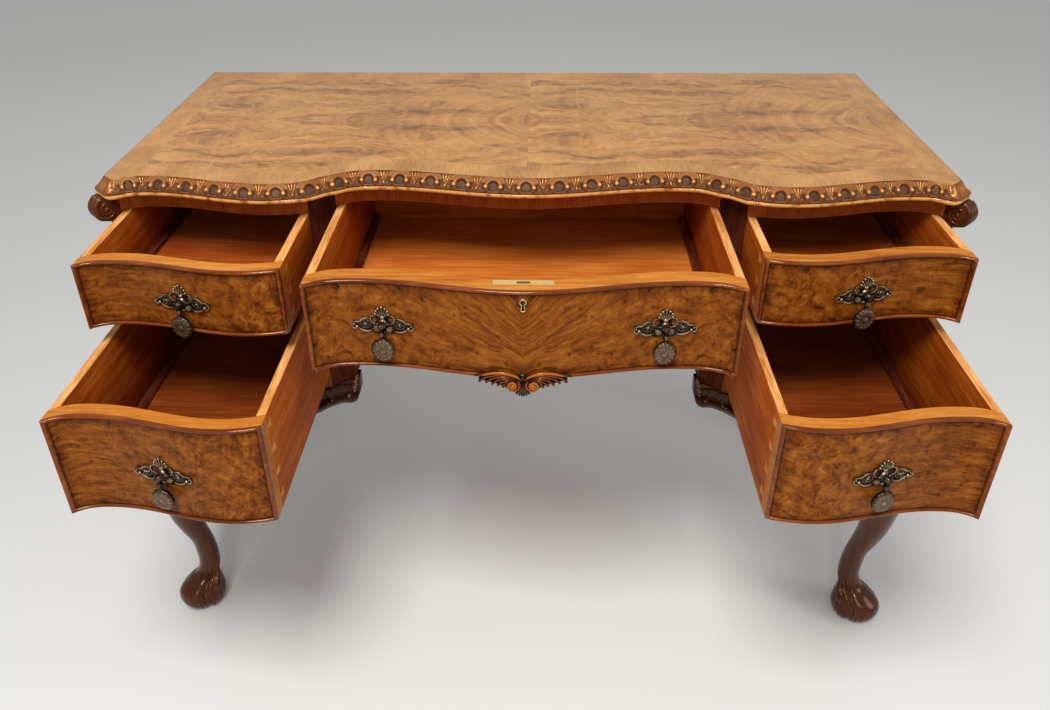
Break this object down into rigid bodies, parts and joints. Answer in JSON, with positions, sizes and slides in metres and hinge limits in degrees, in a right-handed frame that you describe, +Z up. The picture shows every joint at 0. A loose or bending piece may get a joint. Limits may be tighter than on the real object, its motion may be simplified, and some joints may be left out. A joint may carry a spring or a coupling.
{
  "type": "writing table",
  "caption": "Kneehole writing table on cabriole legs: serpentine burr walnut drawers in two pedestals and a wide centre drawer with a lock, under a moulded top.",
  "frame": {"origin": "on the floor, under the middle of the bounding box of the table with its drawers open as pictured", "axes": "+Z up, +X to the right of a person sitting at the table, -Y towards that person"},
  "size_m": [1.2162, 0.8594, 0.79],
  "materials": {
    "figured_walnut": "satin french polish, quarter-matched figure inside a crossbanded border",
    "burr_walnut": "satin french polish, mottled burr",
    "carved_walnut": "carved, dark in the hollows and worn bright on the high points",
    "case_walnut": "satin polish, cross-grained veneer on the rails",
    "leg_walnut": "glossy dark polish over carving",
    "mahogany": "thin matt polish",
    "aged_bronze": "cast and darkened, worn bright on the edges",
    "brass": "satin brass"
  },
  "bodies": {
    "case": {"top_panel": "figured_walnut", "top_edge_moulding": "carved_walnut", "frieze_rail": "case_walnut", "back_panel": "case_walnut", "left_side_panel": "case_walnut", "right_side_panel": "case_walnut", "left_kneehole_panel": "case_walnut", "right_kneehole_panel": "case_walnut", "left_drawer_divider": "case_walnut", "right_drawer_divider": "case_walnut", "left_pedestal_bottom": "case_walnut", "right_pedestal_bottom": "case_walnut", "left_centre_runner": "mahogany", "right_centre_runner": "mahogany", "left_bracket": "leg_walnut", "right_bracket": "leg_walnut", "front_left_leg": "leg_walnut", "front_right_leg": "leg_walnut", "rear_left_leg": "leg_walnut", "rear_right_leg": "leg_walnut"},
    "top_left_drawer": {"top_left_drawer_front": "burr_walnut", "top_left_drawer_left_side": "mahogany", "top_left_drawer_right_side": "mahogany", "top_left_drawer_back": "mahogany", "top_left_drawer_bottom": "mahogany", "top_left_handle_plate": "aged_bronze"},
    "top_right_drawer": {"top_right_drawer_front": "burr_walnut", "top_right_drawer_left_side": "mahogany", "top_right_drawer_right_side": "mahogany", "top_right_drawer_back": "mahogany", "top_right_drawer_bottom": "mahogany", "top_right_handle_plate": "aged_bronze"},
    "lower_left_drawer": {"lower_left_drawer_front": "burr_walnut", "lower_left_drawer_left_side": "mahogany", "lower_left_drawer_right_side": "mahogany", "lower_left_drawer_back": "mahogany", "lower_left_drawer_bottom": "mahogany", "lower_left_handle_plate": "aged_bronze"},
    "lower_right_drawer": {"lower_right_drawer_front": "burr_walnut", "lower_right_drawer_left_side": "mahogany", "lower_right_drawer_right_side": "mahogany", "lower_right_drawer_back": "mahogany", "lower_right_drawer_bottom": "mahogany", "lower_right_handle_plate": "aged_bronze"},
    "centre_drawer": {"centre_drawer_front": "burr_walnut", "centre_drawer_left_side": "mahogany", "centre_drawer_right_side": "mahogany", "centre_drawer_back": "mahogany", "centre_drawer_bottom": "mahogany", "centre_left_handle_plate": "aged_bronze", "centre_right_handle_plate": "aged_bronze", "lock_case": "brass", "keyhole_escutcheon": "brass"},
    "top_left_drop": {"top_left_handle_drop": "aged_bronze"},
    "top_right_drop": {"top_right_handle_drop": "aged_bronze"},
    "lower_left_drop": {"lower_left_handle_drop": "aged_bronze"},
    "lower_right_drop": {"lower_right_handle_drop": "aged_bronze"},
    "centre_left_drop": {"centre_left_handle_drop": "aged_bronze"},
    "centre_right_drop": {"centre_right_handle_drop": "aged_bronze"},
    "bolt": {"lock_bolt": "brass"}
  },
  "joints": [
    {"name": "top_left_drawer_slide", "type": "slide", "parent": "case", "child": "top_left_drawer", "axis": [0, -1, 0], "range_m": [-0.158, 0.202]},
    {"name": "top_right_drawer_slide", "type": "slide", "parent": "case", "child": "top_right_drawer", "axis": [0, -1, 0], "range_m": [-0.121, 0.239]},
    {"name": "lower_left_drawer_slide", "type": "slide", "parent": "case", "child": "lower_left_drawer", "axis": [0, -1, 0], "range_m": [-0.311, 0.049]},
    {"name": "lower_right_drawer_slide", "type": "slide", "parent": "case", "child": "lower_right_drawer", "axis": [0, -1, 0], "range_m": [-0.294, 0.066]},
    {"name": "centre_drawer_slide", "type": "slide", "parent": "case", "child": "centre_drawer", "axis": [0, -1, 0], "range_m": [-0.223, 0.137]},
    {"name": "top_left_drop_hinge", "type": "hinge", "parent": "top_left_drawer", "child": "top_left_drop", "pos_m": [-0.42332, -0.26952, 0.693], "axis": [-0.9678, 0.2517, 0], "range_deg": [-3, 80]},
    {"name": "top_right_drop_hinge", "type": "hinge", "parent": "top_right_drawer", "child": "top_right_drop", "pos_m": [0.42332, -0.23252, 0.693], "axis": [-0.9678, -0.2517, 0], "range_deg": [-3, 80]},
    {"name": "lower_left_drop_hinge", "type": "hinge", "parent": "lower_left_drawer", "child": "lower_left_drop", "pos_m": [-0.42332, -0.42252, 0.548], "axis": [-0.9678, 0.2517, 0], "range_deg": [-3, 80]},
    {"name": "lower_right_drop_hinge", "type": "hinge", "parent": "lower_right_drawer", "child": "lower_right_drop", "pos_m": [0.42332, -0.40552, 0.548], "axis": [-0.9678, -0.2517, 0], "range_deg": [-3, 80]},
    {"name": "centre_left_drop_hinge", "type": "hinge", "parent": "centre_drawer", "child": "centre_left_drop", "pos_m": [-0.16993, -0.29799, 0.682], "axis": [-0.9965, 0.0833, 0], "range_deg": [-3, 80]},
    {"name": "centre_right_drop_hinge", "type": "hinge", "parent": "centre_drawer", "child": "centre_right_drop", "pos_m": [0.16993, -0.29799, 0.682], "axis": [-0.9965, -0.0833, 0], "range_deg": [-3, 80]},
    {"name": "lock_bolt_slide", "type": "slide", "parent": "centre_drawer", "child": "bolt", "axis": [0, 0, 1], "range_m": [0, 0.009]}
  ]
}
